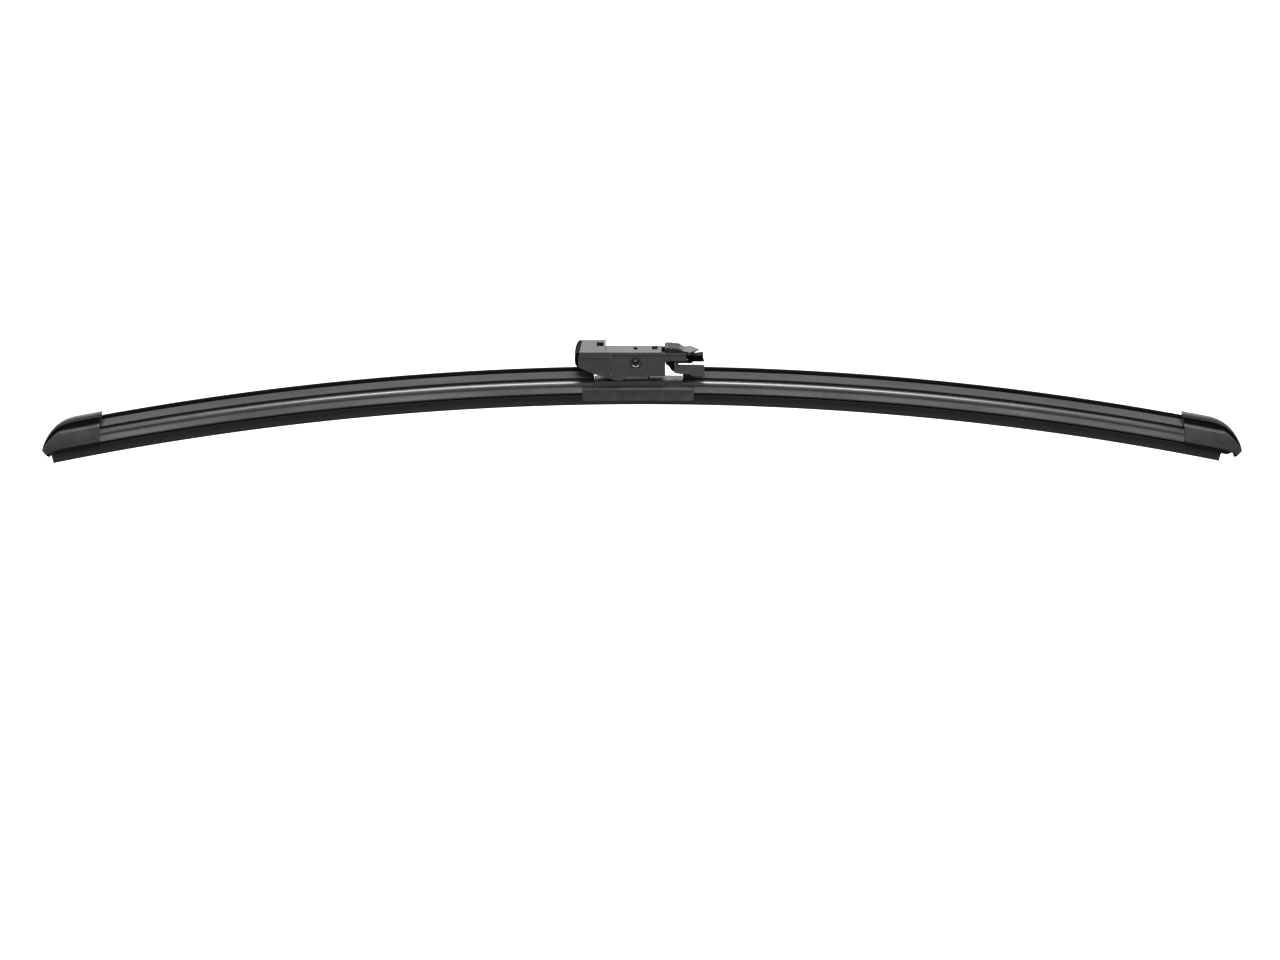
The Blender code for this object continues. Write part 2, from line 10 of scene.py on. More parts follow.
import bmesh
import bpy
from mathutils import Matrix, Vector


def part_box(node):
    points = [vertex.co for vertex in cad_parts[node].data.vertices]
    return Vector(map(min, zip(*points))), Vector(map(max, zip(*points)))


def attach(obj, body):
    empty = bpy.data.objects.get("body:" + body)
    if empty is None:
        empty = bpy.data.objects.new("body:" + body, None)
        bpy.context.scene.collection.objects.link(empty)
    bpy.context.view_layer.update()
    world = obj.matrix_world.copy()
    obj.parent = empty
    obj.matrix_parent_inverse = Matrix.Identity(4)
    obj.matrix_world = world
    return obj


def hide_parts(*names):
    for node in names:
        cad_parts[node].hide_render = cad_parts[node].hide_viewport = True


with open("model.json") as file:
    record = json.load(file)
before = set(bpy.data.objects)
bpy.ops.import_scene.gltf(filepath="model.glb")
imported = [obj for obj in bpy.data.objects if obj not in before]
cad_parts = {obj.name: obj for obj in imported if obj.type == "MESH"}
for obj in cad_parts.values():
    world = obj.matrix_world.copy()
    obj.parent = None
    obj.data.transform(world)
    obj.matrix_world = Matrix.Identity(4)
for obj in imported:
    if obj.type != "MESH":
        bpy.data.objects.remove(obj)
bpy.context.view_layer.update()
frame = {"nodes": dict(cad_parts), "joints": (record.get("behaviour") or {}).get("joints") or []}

MM = 0.001

# The blade's arc, as in the CAD
ARC_RADIUS = 1423.0            # at the wiping edge
EDGE_Z = -28.5                 # wiping edge in the middle of the blade
RING_STEP = 3.0                # arc length between two rings of a long part
SMOOTH_ANGLE = math.radians(32)

# Heights are above the wiping edge
RAIL_LOW = 8.15
RAIL_HIGH = 9.05
RAIL_PLAY = 0.15               # air above and below a rail in the rubber's groove
RAIL_INNER = 1.0
RAIL_OUTER = 4.2
GROOVE_FLOOR = 0.7             # half the rubber left between the two grooves
HEAD_HALF = 2.6
HEAD_HIGH = 10.0
SPOILER_BASE = 7.2
SPOILER_TOP = 19.2
SPOILER_RIM_LOW = 17.0         # the rim's near-black material starts here: partly its own soft rubber, partly painted shade

# End caps: their reach is the arc length in from the nose
CAP_HALF_ARC = 298.9           # arc length from the middle of the blade to the nose
CAP_LENGTH = 31.0
CAP_RINGS = 46
CAP_NOSE_LENGTH = 19.0
CAP_NOSE_HEIGHT = 8.3
CAP_NOSE_BEND = 0.85
CAP_NOSE_WIDTH = 0.42          # width at the nose, as a part of the full width
CAP_NOSE_WIDENING = 0.58
CAP_CHIN_LENGTH = 3.0
CAP_CHIN_TOP = 7.7
CAP_CHIN_DROP = 3.5
CAP_CHIN_LOW = 4.2
CAP_BASE_RISE = 0.2            # rise of the base per millimetre behind the chin
CAP_BASE = 4.9
CAP_TOP = 21.5
CAP_FOOT_TOP = 7.6             # painted shade on the undercut under the panel ends here
CAP_PANEL_TOP = 16.2
CAP_PANEL_SHARE = 0.78         # the panel's share of the height near the nose
CAP_PANEL_START = 2.2          # reach at which the panel starts to stand out
CAP_PANEL_FADE = 1.4
CAP_PANEL_END = 0.6            # length over which the panel falls back at the inner end
CAP_BAR_LOW = 19.3             # painted shade in the slot under the top bar ends here
CAP_END_SLANT = 3.5            # the inner end's slant, from its base to its top
CAP_END_SETBACK = 2.3          # how far its base sits back from CAP_LENGTH
CAP_BAR_SLANT = 0.25           # more slant per millimetre above the panel
SLANT_FADE = 12.0              # length over which a spoiler's end takes up the slant
SLANT_CLOSING = 0.1            # how much a spoiler closes its gap to the cap
HEAD_POCKET_END = 295.4        # arc lengths at which the cap's pockets end
RAIL_POCKET_END = 286.3

# Connector cover
SKIRT_BASE = 3.9
SKIRT_HALF = 7.2
SKIRT_INSIDE = 5.75
TIE_HIGH = 5.4
ROOF_LEFT = -23.4              # arc lengths between which the cover is roofed
ROOF_RIGHT = 19.9

# Adapter and rivet
ADAPTER_HALF = 6.85
CHANNEL_HALF = 5.4
SEAM_GAP = 0.02                # hairline between a moulding and its trim
WALL_GROOVE_DEPTH = 0.2
BORE_RADIUS = 2.6
RECESS_RADIUS = 2.95
RECESS_FLOOR = 6.2             # half the width between the bore's two recesses
TRUNNION_RADIUS = 0.9
PAD_END = 18.6                 # the thumb pad's end towards the beak
RIB_COUNT = 5
RIB_PITCH = 1.15
SPIN_STEPS = 72

# Fineness of the materials' textures, and depth of their bumps in metres
GRAIN_SCALE = 5200.0
GRAIN_DEPTH = 0.00003
SKIN_SCALE = 2600.0
SKIN_DEPTH = 0.00002
BRUSH_DEPTH = 0.00001
PLASTIC_CLOUD_SCALE = 160.0
STEEL_CLOUD_SCALE = 240.0


def low(node, axis):
    """A CAD node's lowest coordinate on an axis, in millimetres."""
    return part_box(node)[0][axis] / MM


def high(node, axis):
    """A CAD node's highest coordinate on an axis, in millimetres."""
    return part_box(node)[1][axis] / MM


def joint_point(name):
    """A joint's point in X and Z, in millimetres."""
    place = next(j["pos_m"] for j in frame["joints"] if j["name"] == name)
    return place[0] / MM, place[2] / MM


def blade_point(along, across, height):
    """Point in metres at an arc length, a distance across and a height above the wiping edge."""
    angle = along / ARC_RADIUS
    reach = ARC_RADIUS + height
    return Vector((reach * math.sin(angle), across, EDGE_Z - ARC_RADIUS + reach * math.cos(angle))) * MM


def arc_length(x, height):
    """Arc length at which a point at a height above the wiping edge has this X."""
    return ARC_RADIUS * math.asin(x / (ARC_RADIUS + height))


def cap_lean(height):
    """How much further in than CAP_LENGTH the slanted inner end of a cap sits at a height."""
    slant = CAP_END_SLANT * (height - CAP_BASE) / (CAP_TOP - CAP_BASE)
    return slant - CAP_END_SETBACK + CAP_BAR_SLANT * max(0.0, height - CAP_PANEL_TOP)


# ---------------------------------------------------------------- mesh helpers

def fillet(corners, radius, steps=4):
    """Closed outline whose corners (x, y) or (x, y, own radius) are rounded."""
    points = []
    count = len(corners)
    for i, corner in enumerate(corners):
        here = Vector(corner[:2])
        before = Vector(corners[i - 1][:2]) - here
        after = Vector(corners[(i + 1) % count][:2]) - here
        size = corner[2] if len(corner) > 2 else radius
        reach = min(size, 0.45 * before.length, 0.45 * after.length)
        if reach < 0.01:
            points.append(tuple(here))
            continue
        start = here + before.normalized() * reach
        end = here + after.normalized() * reach
        for k in range(steps + 1):
            t = k / steps
            spot = (1 - t) ** 2 * start + 2 * t * (1 - t) * here + t * t * end
            points.append(tuple(spot))
    return points


def arc_points(centre, radius, start, end, count):
    """Points on a circular arc, from one angle in degrees to another."""
    angles = [math.radians(start + (end - start) * i / count) for i in range(count + 1)]
    return [(centre[0] + radius * math.cos(a), centre[1] + radius * math.sin(a)) for a in angles]


def mirrored(half):
    """Closed outline from its half at positive first coordinate, listed from top to bottom."""
    return half + [(-point[0], *point[1:]) for point in reversed(half)]


def perimeter(outline):
    """Length run along a closed outline up to each point, and once round."""
    run = [0.0]
    for a, b in zip(outline, outline[1:] + outline[:1]):
        run.append(run[-1] + math.hypot(b[0] - a[0], b[1] - a[1]))
    return run


def finished(name, bm, materials):
    """Object of a bmesh, linked to the scene, with smooth shading up to SMOOTH_ANGLE."""
    bmesh.ops.recalc_face_normals(bm, faces=bm.faces)
    mesh = bpy.data.meshes.new(name)
    bm.to_mesh(mesh)
    bm.free()
    for material in materials:
        mesh.materials.append(material)
    mesh.shade_smooth()
    mesh.set_sharp_from_angle(angle=SMOOTH_ANGLE)
    obj = bpy.data.objects.new(name, mesh)
    bpy.context.scene.collection.objects.link(obj)
    return obj


def lofted(name, rings, materials, along=None, around=None):
    """Closed solid through rings of equal count, with a UV map in metres along and around it."""
    bm = bmesh.new()
    uv = bm.loops.layers.uv.new("along_around")
    loops = [[bm.verts.new(point) for point in ring] for ring in rings]
    count = len(rings[0])
    for k in range(len(loops) - 1):
        for i in range(count):
            j = (i + 1) % count
            face = bm.faces.new((loops[k][i], loops[k][j], loops[k + 1][j], loops[k + 1][i]))
            if along:
                spots = ((k, i), (k, i + 1), (k + 1, i + 1), (k + 1, i))
                for loop, (row, column) in zip(face.loops, spots):
                    loop[uv].uv = (along[row] * MM, around[column] * MM)
    for ring in (loops[0], loops[-1]):
        face = bm.faces.new(ring)
        for loop in face.loops:
            loop[uv].uv = (loop.vert.co.y, loop.vert.co.z)
    return finished(name, bm, materials)


def swept(name, outline, start, end, materials, lean_end=None):
    """Solid of one section across the blade, carried along its arc.

    lean_end is the arc length of an end that is slanted to follow an end cap.
    """
    count = max(2, round(abs(end - start) / RING_STEP))
    along = [start + (end - start) * i / count for i in range(count + 1)]
    rings = []
    for s in along:
        fade = max(0.0, 1 - (lean_end - abs(s)) / SLANT_FADE) if lean_end else 0.0
        fade = math.copysign(fade, s)
        rings.append([blade_point(s - fade * (cap_lean(h) - SLANT_CLOSING), y, h) for y, h in outline])
    return lofted(name, rings, materials, along, perimeter(outline))


def extruded(name, outline, start, end, materials=(), axis="Y"):
    """Solid of an outline in the plane across an axis, from one place on that axis to another."""
    place = {
        "Y": lambda a, b, c: Vector((a, c, b)) * MM,
        "Z": lambda a, b, c: Vector((a, b, c)) * MM,
        "X": lambda a, b, c: Vector((c, a, b)) * MM,
    }[axis]
    bm = bmesh.new()
    face = bm.faces.new([bm.verts.new(place(a, b, start)) for a, b in outline])
    lifted = bmesh.ops.extrude_face_region(bm, geom=[face])["geom"]
    shift = place(0.0, 0.0, end) - place(0.0, 0.0, start)
    bmesh.ops.translate(bm, vec=shift, verts=[v for v in lifted if isinstance(v, bmesh.types.BMVert)])
    return finished(name, bm, materials)


def box(name, lowest, highest, materials=()):
    """Box between two corners."""
    x0, y0, z0 = lowest
    x1, y1, z1 = highest
    return extruded(name, [(x0, z0), (x1, z0), (x1, z1), (x0, z1)], y0, y1, materials)


def cross_rod(name, centre, radius, start, end, materials=(), sides=64):
    """Cylinder along Y about a point in X and Z."""
    return extruded(name, arc_points(centre, radius, 0, 360 - 360 / sides, sides - 1), start, end, materials)


def carved(obj, operation, *tools):
    """Cut tools out of a piece, or join them to it, and keep the result as its mesh."""
    for tool in tools:
        modifier = obj.modifiers.new("shape", "BOOLEAN")
        modifier.operation = operation
        modifier.solver = "EXACT"
        modifier.object = tool
        depsgraph = bpy.context.evaluated_depsgraph_get()
        mesh = bpy.data.meshes.new_from_object(obj.evaluated_get(depsgraph))
        obj.modifiers.remove(modifier)
        obj.data = mesh
        bpy.data.objects.remove(tool)
    obj.data.shade_smooth()
    obj.data.set_sharp_from_angle(angle=SMOOTH_ANGLE)
    return obj


# ---------------------------------------------------------------- materials

def node_tree(name):
    """New node material: its nodes, its links and its Principled shader."""
    material = bpy.data.materials.new(name)
    material.use_nodes = True
    nodes, links = material.node_tree.nodes, material.node_tree.links
    return material, nodes, links, nodes["Principled BSDF"]


def scaled_coordinates(nodes, links, kind, scale):
    """Texture coordinates of a kind, stretched by a scale on each axis."""
    coordinates = nodes.new("ShaderNodeTexCoord")
    mapping = nodes.new("ShaderNodeMapping")
    mapping.inputs["Scale"].default_value = scale
    links.new(coordinates.outputs[kind], mapping.inputs["Vector"])
    return mapping.outputs["Vector"]


def noise(nodes, links, vector, scale, detail=3.0, roughness=0.55):
    """Noise texture's factor."""
    texture = nodes.new("ShaderNodeTexNoise")
    texture.inputs["Scale"].default_value = scale
    texture.inputs["Detail"].default_value = detail
    texture.inputs["Roughness"].default_value = roughness
    links.new(vector, texture.inputs["Vector"])
    return texture.outputs["Fac"]


def ramp(nodes, links, factor, low_value, high_value, start=0.3, end=0.7):
    """Grey or coloured ramp over a factor."""
    node = nodes.new("ShaderNodeValToRGB")
    first, last = node.color_ramp.elements
    first.position, last.position = start, end
    first.color = (*low_value, 1.0)
    last.color = (*high_value, 1.0)
    links.new(factor, node.inputs["Fac"])
    return node.outputs["Color"]


def spread(nodes, links, factor, lowest, highest, start=0.3, end=0.7):
    """Number between two limits over a factor."""
    node = nodes.new("ShaderNodeMapRange")
    node.inputs["From Min"].default_value = start
    node.inputs["From Max"].default_value = end
    node.inputs["To Min"].default_value = lowest
    node.inputs["To Max"].default_value = highest
    links.new(factor, node.inputs["Value"])
    return node.outputs["Result"]


def bump(nodes, links, height, strength, distance, normal=None):
    """Bump over a height, on top of another normal."""
    node = nodes.new("ShaderNodeBump")
    node.inputs["Strength"].default_value = strength
    node.inputs["Distance"].default_value = distance
    links.new(height, node.inputs["Height"])
    if normal:
        links.new(normal, node.inputs["Normal"])
    return node.outputs["Normal"]


def soft_edges(nodes, radius):
    """Normal that rounds a moulding's sharp edges."""
    node = nodes.new("ShaderNodeBevel")
    node.samples = 6
    node.inputs["Radius"].default_value = radius
    return node.outputs["Normal"]


def moulded_plastic(name, colour, roughness, specular=0.5, grain=0.5, edge=0.00022, spotting=0.25):
    """Injection-moulded plastic: fine spark-eroded grain, cloudy sheen and rounded edges."""
    material, nodes, links, shader = node_tree(name)
    metric = scaled_coordinates(nodes, links, "Object", (1.0, 1.0, 1.0))
    fine = noise(nodes, links, metric, GRAIN_SCALE, 2.0)
    cloud = noise(nodes, links, metric, PLASTIC_CLOUD_SCALE, 4.0)
    dark = tuple(c * (1 - spotting) for c in colour)
    light = tuple(min(1.0, c * (1 + spotting)) for c in colour)
    links.new(ramp(nodes, links, cloud, dark, light), shader.inputs["Base Color"])
    links.new(spread(nodes, links, cloud, roughness - 0.06, roughness + 0.08), shader.inputs["Roughness"])
    shader.inputs["Specular IOR Level"].default_value = specular
    rounded = soft_edges(nodes, edge)
    links.new(bump(nodes, links, fine, grain, GRAIN_DEPTH, rounded), shader.inputs["Normal"])
    return material


def extruded_polymer(name, colour, roughness, specular=0.5, streak=0.35):
    """Extruded profile: faint die lines along the blade, dusty cloudiness and a fine skin."""
    material, nodes, links, shader = node_tree(name)
    die = noise(nodes, links, scaled_coordinates(nodes, links, "UV", (6.0, GRAIN_SCALE, 1.0)), 1.0, 2.0)
    skin = noise(nodes, links, scaled_coordinates(nodes, links, "Object", (1.0, 1.0, 1.0)), SKIN_SCALE, 3.0)
    patches = scaled_coordinates(nodes, links, "UV", (22.0, PLASTIC_CLOUD_SCALE, 1.0))
    cloud = noise(nodes, links, patches, 1.0, 4.0)
    dark = tuple(c * 0.8 for c in colour)
    light = tuple(c * 1.25 for c in colour)
    links.new(ramp(nodes, links, cloud, dark, light), shader.inputs["Base Color"])
    links.new(spread(nodes, links, cloud, roughness - 0.05, roughness + 0.07), shader.inputs["Roughness"])
    shader.inputs["Specular IOR Level"].default_value = specular
    lines = bump(nodes, links, die, streak, GRAIN_DEPTH)
    links.new(bump(nodes, links, skin, 0.25, SKIN_DEPTH, lines), shader.inputs["Normal"])
    return material


def brushed_steel(name, colour, roughness, coordinates="Object", stretch=(40.0, 9000.0, 9000.0)):
    """Rolled or turned steel: fine lines along one direction and a cloudy sheen."""
    material, nodes, links, shader = node_tree(name)
    lines = noise(nodes, links, scaled_coordinates(nodes, links, coordinates, stretch), 1.0, 3.0)
    metric = scaled_coordinates(nodes, links, "Object", (1.0, 1.0, 1.0))
    cloud = noise(nodes, links, metric, STEEL_CLOUD_SCALE, 3.0)
    dark = tuple(c * 0.8 for c in colour)
    light = tuple(min(1.0, c * 1.15) for c in colour)
    links.new(ramp(nodes, links, cloud, dark, light), shader.inputs["Base Color"])
    links.new(spread(nodes, links, lines, roughness - 0.06, roughness + 0.12), shader.inputs["Roughness"])
    links.new(bump(nodes, links, lines, 0.3, BRUSH_DEPTH), shader.inputs["Normal"])
    shader.inputs["Metallic"].default_value = 1.0
    return material


RUBBER = extruded_polymer("wiping_rubber", (0.009, 0.009, 0.0095), 0.55, 0.35, 0.5)
SPOILER = extruded_polymer("spoiler_elastomer", (0.019, 0.019, 0.02), 0.3)
# Near-black rim: partly the soft co-extruded rubber, partly painted shade of the rim's steep front.
SPOILER_RIM = extruded_polymer("spoiler_soft_rim_and_painted_shade", (0.0015, 0.0015, 0.0016), 0.7, 0.08)
CAP = moulded_plastic("cap_plastic", (0.026, 0.026, 0.0275), 0.44, 0.4)
# Near-black copy of the cap plastic: painted shade for the cap's undercut foot and the slot under its top
# bar.
CAP_PAINTED_SHADE = moulded_plastic("cap_painted_shade", (0.003, 0.003, 0.0032), 0.6, 0.15)
COVER = moulded_plastic("cover_plastic", (0.009, 0.009, 0.0095), 0.42, 0.36)
ADAPTER = moulded_plastic("adapter_plastic", (0.016, 0.0165, 0.0185), 0.4, 0.3)
JAW = moulded_plastic("jaw_plastic", (0.022, 0.0225, 0.025), 0.4, 0.35)
LATCH = moulded_plastic("latch_plastic", (0.018, 0.0185, 0.0205), 0.42, 0.3)
LATCH_PAD = moulded_plastic("latch_flank", (0.01, 0.01, 0.011), 0.6, 0.25)
# Near-black rubber of the arm stop, also used as painted shade on the fork's neck and partly on the slider's
# end.
STOP_AND_SHADE = moulded_plastic("stop_rubber", (0.0012, 0.0012, 0.0013), 0.6, 0.03)
BUSH = moulded_plastic("bush_acetal", (0.28, 0.28, 0.27), 0.4)
RAIL_STEEL = brushed_steel("rail_steel", (0.42, 0.43, 0.45), 0.32)
CLIP_STEEL = brushed_steel("clip_steel", (0.6, 0.61, 0.63), 0.3)
RIVET_STEEL = brushed_steel("rivet_steel", (0.16, 0.165, 0.16), 0.18, stretch=(900.0, 60.0, 900.0))
COATED_STEEL = moulded_plastic("coated_steel", (0.03, 0.03, 0.032), 0.4)


# ---------------------------------------------------------------- blade

def keep(piece, body, *nodes, slot):
    """Let a piece ride on a body and stand for CAD nodes."""
    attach(piece, body)
    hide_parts(*nodes)


def build_rubber():
    """Wiping rubber: lip with a crisp edge, rounded shoulders, thin neck and grooved head."""
    half = [
        (HEAD_HALF, HEAD_HIGH, 0.3), (HEAD_HALF, RAIL_HIGH + RAIL_PLAY, 0.1),
        (GROOVE_FLOOR, RAIL_HIGH + RAIL_PLAY, 0.1), (GROOVE_FLOOR, RAIL_LOW - RAIL_PLAY, 0.1),
        (HEAD_HALF, RAIL_LOW - RAIL_PLAY, 0.1), (HEAD_HALF, 7.0, 0.25),
        (0.55, 6.75, 0.2), (0.55, 6.3, 0.2), (2.8, 6.05, 0.25), (2.8, 5.3, 0.35), (1.5, 4.4, 0.8),
        (0.72, 2.6, 0.8), (0.35, 0.0, 0.04),
    ]
    start = -arc_length(-low("wiper_rubber", 0), HEAD_HIGH)
    end = arc_length(high("wiper_rubber", 0), HEAD_HIGH)
    piece = swept("rubber_blade", fillet(mirrored(half), 0.2), start, end, [RUBBER])
    keep(piece, "blade", "wiper_rubber", slot="rubber")


def build_rails():
    """Spring-steel rails with rolled edges."""
    for name, side in (("front", -1), ("rear", 1)):
        node = "flexor_" + name
        inner, outer = sorted((side * RAIL_INNER, side * RAIL_OUTER))
        outline = [(inner, RAIL_LOW), (outer, RAIL_LOW), (outer, RAIL_HIGH), (inner, RAIL_HIGH)]
        end = arc_length(high(node, 0), RAIL_HIGH)
        piece = swept("rail_" + name, fillet(outline, 0.22), -end, end, [RAIL_STEEL])
        keep(piece, "blade", node, slot="rail_steel")


def spoiler_section():
    """Section of the spoiler: claw, front shoulder, groove, concave band and a soft rim on top."""
    inside = [
        (5.5, SPOILER_BASE, 0.8), (3.2, SPOILER_BASE, 0.15), (3.2, 7.85, 0.15), (4.5, 7.85, 0.1),
        (4.5, 9.35, 0.1), (2.9, 9.35, 0.1), (2.9, 10.3, 0.2),
    ]
    front = [
        (-5.5, 11.0, 0.5), (-5.15, 12.2, 0.6), (-4.2, 13.05, 0.7), (-3.0, 13.43, 0.1), (-2.7, 12.6, 0.1),
        (-0.9, 12.6, 0.2), (-0.9, 13.9, 0.1), (-1.3, 14.25, 0.1), (-0.55, 15.4, 1.0), (0.2, 16.4, 1.0),
        (0.86, 17.27, 0.1), (0.9, 18.1, 0.25), (1.2, SPOILER_TOP, 0.45),
    ]
    back = [
        (2.4, SPOILER_TOP, 0.45), (2.85, 17.6, 0.5), (2.95, 15.0, 0.8), (3.7, 13.2, 0.8), (5.5, 11.6, 0.9),
    ]
    left_inside = [(-point[0], *point[1:]) for point in reversed(inside)]
    return fillet(front + back + inside + left_inside, 0.2, steps=5)


def build_spoilers():
    """Both spoilers, with the rim in its own near-black material: partly soft rubber, partly painted shade
    of its steep front.
    """
    outline = spoiler_section()
    for side in ("left", "right"):
        node = "spoiler_" + side
        if side == "left":
            start = -arc_length(-low(node, 0), SPOILER_TOP)
            end = arc_length(high(node, 0), SPOILER_BASE)
            outer_end = -start
        else:
            start = arc_length(low(node, 0), SPOILER_BASE)
            end = arc_length(high(node, 0), SPOILER_TOP)
            outer_end = end
        piece = swept("air_" + node, outline, start, end, [SPOILER, SPOILER_RIM], lean_end=outer_end)
        count = len(outline)
        heights = [h for _, h in outline]
        rim = {i for i in range(count) if min(heights[i], heights[(i + 1) % count]) > SPOILER_RIM_LOW}
        for index, polygon in enumerate(piece.data.polygons):
            if index % count in rim and len(polygon.vertices) == 4:
                polygon.material_index = 1
        keep(piece, "blade", node, slot="spoiler_plastic")


def cap_shape(reach):
    """Top height, bottom height and width factor of an end cap at a distance in from its nose."""
    nose = 1 - (1 - min(max(reach, 0.0), CAP_NOSE_LENGTH) / CAP_NOSE_LENGTH) ** 2
    top = CAP_NOSE_HEIGHT + (CAP_TOP - CAP_NOSE_HEIGHT) * nose ** CAP_NOSE_BEND
    if reach < CAP_CHIN_LENGTH:
        base = CAP_CHIN_TOP - CAP_CHIN_DROP * math.sin(math.pi / 2 * reach / CAP_CHIN_LENGTH)
    else:
        base = min(CAP_BASE, CAP_CHIN_LOW + CAP_BASE_RISE * (reach - CAP_CHIN_LENGTH))
    return top, base, CAP_NOSE_WIDTH + CAP_NOSE_WIDENING * nose ** 0.5


def cap_section(reach, border):
    """Section of an end cap: undercut foot, raised front panel, slot, and a bar along the top.

    border goes from 0, where panel and slot are flush, to 1, where they have their full depth.
    """
    top, base, wide = cap_shape(reach)
    middle = min(CAP_PANEL_TOP, base + CAP_PANEL_SHARE * (top - base))
    lower_rise = (middle - base) / (CAP_PANEL_TOP - CAP_BASE)
    upper_rise = (top - middle) / (CAP_TOP - CAP_PANEL_TOP)
    raised = 0.5 * border
    slot = -2.3 + 1.7 * border
    corners = [
        (-3.9, 4.9, 0.2), (-4.2, 7.3, 0.1), (-5.8, 7.8, 0.2), (-6.0 - raised, 8.4, 0.3),
        (-5.8 - raised, 10.0, 2.0), (-4.2 - raised, 15.6, 0.6), (-3.6, 16.1, 0.4), (-2.6, 16.4, 0.1),
        (slot, 16.5, 0.1), (slot, 17.6, 0.1), (-1.5, 19.4, 0.2), (-1.3, 20.9, 0.6), (0.6, 21.5, 0.8),
        (2.3, 21.1, 0.8), (2.9, 19.7, 0.9), (3.05, 17.5, 0.9), (3.5, 14.6, 1.2), (5.2, 12.0, 1.2),
        (6.3, 9.8, 0.9), (6.4, 7.0, 0.2), (3.9, 4.9, 0.2),
    ]
    section = []
    for y, h in fillet(corners, 0.2, steps=3):
        if h < CAP_PANEL_TOP:
            section.append((y * wide, base + (h - CAP_BASE) * lower_rise))
        else:
            section.append((y * wide, middle + (h - CAP_PANEL_TOP) * upper_rise))
    return section


def build_caps():
    """End caps with a raised panel under a slot, painted shade on the slot and the foot, and pockets for the
    rails and rubber.
    """
    for side, sign in (("left", -1), ("right", 1)):
        node = "end_cap_" + side
        reaches = [CAP_LENGTH * (i / CAP_RINGS) ** 1.5 for i in range(CAP_RINGS + 1)]
        rings = []
        for reach in reaches:
            border = min(
                1.0,
                max(0.0, (CAP_LENGTH - CAP_PANEL_END - reach) / CAP_PANEL_END),
                max(0.0, (reach - CAP_PANEL_START) / CAP_PANEL_FADE),
            )
            section = cap_section(reach, border)
            lean = (reach / CAP_LENGTH) ** 2
            rings.append([
                blade_point(sign * (CAP_HALF_ARC - reach - lean * cap_lean(h)), y, h) for y, h in section
            ])
        along = [CAP_HALF_ARC - reach for reach in reaches]
        around = perimeter(cap_section(CAP_LENGTH, 0.0))
        piece = lofted("tip_" + node, rings, [CAP, CAP_PAINTED_SHADE], along, around)
        full = cap_section(CAP_LENGTH, 1.0)
        # Front faces of the foot and of the slot take the near-black copy: painted shade.
        painted_shade_faces = set()
        for i in range(len(full)):
            (y, h), (_, upper) = full[i], full[(i + 1) % len(full)]
            in_foot = max(h, upper) < CAP_FOOT_TOP
            in_slot = min(h, upper) > CAP_PANEL_TOP and max(h, upper) < CAP_BAR_LOW
            if y < 0 and (in_foot or in_slot):
                painted_shade_faces.add(i)
        for index, polygon in enumerate(piece.data.polygons):
            if index % len(full) in painted_shade_faces and index < CAP_RINGS * len(full):
                polygon.material_index = 1
        mouth = sign * (CAP_HALF_ARC - CAP_LENGTH - 1.0)
        head = [(3.4, 11.2), (3.4, -1.0), (-3.4, -1.0), (-3.4, 11.2)]
        rail = [(4.5, 9.35), (4.5, 7.85), (-4.5, 7.85), (-4.5, 9.35)]
        carved(
            piece, "DIFFERENCE",
            swept("head_pocket", head, mouth, sign * HEAD_POCKET_END, []),
            swept("rail_pocket", rail, mouth, sign * RAIL_POCKET_END, []),
        )
        keep(piece, "blade", node, slot="cap_plastic")


def build_cover():
    """Skirt and roof of the connector, open over the spoilers' ends and tied along its lower edges."""
    left = -arc_length(-low("connector_cover", 0), SKIRT_BASE)
    right = arc_length(high("connector_cover", 0), SKIRT_BASE)
    half = [
        (5.0, 13.7, 0.45), (5.0, 11.4, 0.25), (SKIRT_HALF, 9.4, 0.4), (SKIRT_HALF, SKIRT_BASE, 0.4),
        (5.5, SKIRT_BASE, 0.2), (5.5, 10.05, 0.2), (4.45, 11.25, 0.2),
    ]
    piece = swept("connector_skirt", fillet(mirrored(half), 0.2), left, right, [COVER])
    room = [(SKIRT_INSIDE, 25.0), (SKIRT_INSIDE, 3.0), (-SKIRT_INSIDE, 3.0), (-SKIRT_INSIDE, 25.0)]
    carved(
        piece, "DIFFERENCE",
        box("tower_hole", (-10.1, -3.9, -20.0), (3.7, 3.9, -12.0)),
        swept("left_room", room, left - 1.0, ROOF_LEFT, []),
        swept("right_room", room, ROOF_RIGHT, right + 1.0, []),
    )
    for y0, y1 in ((-SKIRT_HALF, -SKIRT_INSIDE), (SKIRT_INSIDE, SKIRT_HALF)):
        tie = [(y1, TIE_HIGH), (y1, SKIRT_BASE), (y0, SKIRT_BASE), (y0, TIE_HIGH)]
        carved(piece, "UNION", swept("tie", tie, left + 0.6, right - 0.6, []))
    keep(piece, "blade", "connector_cover", slot="cap_plastic")


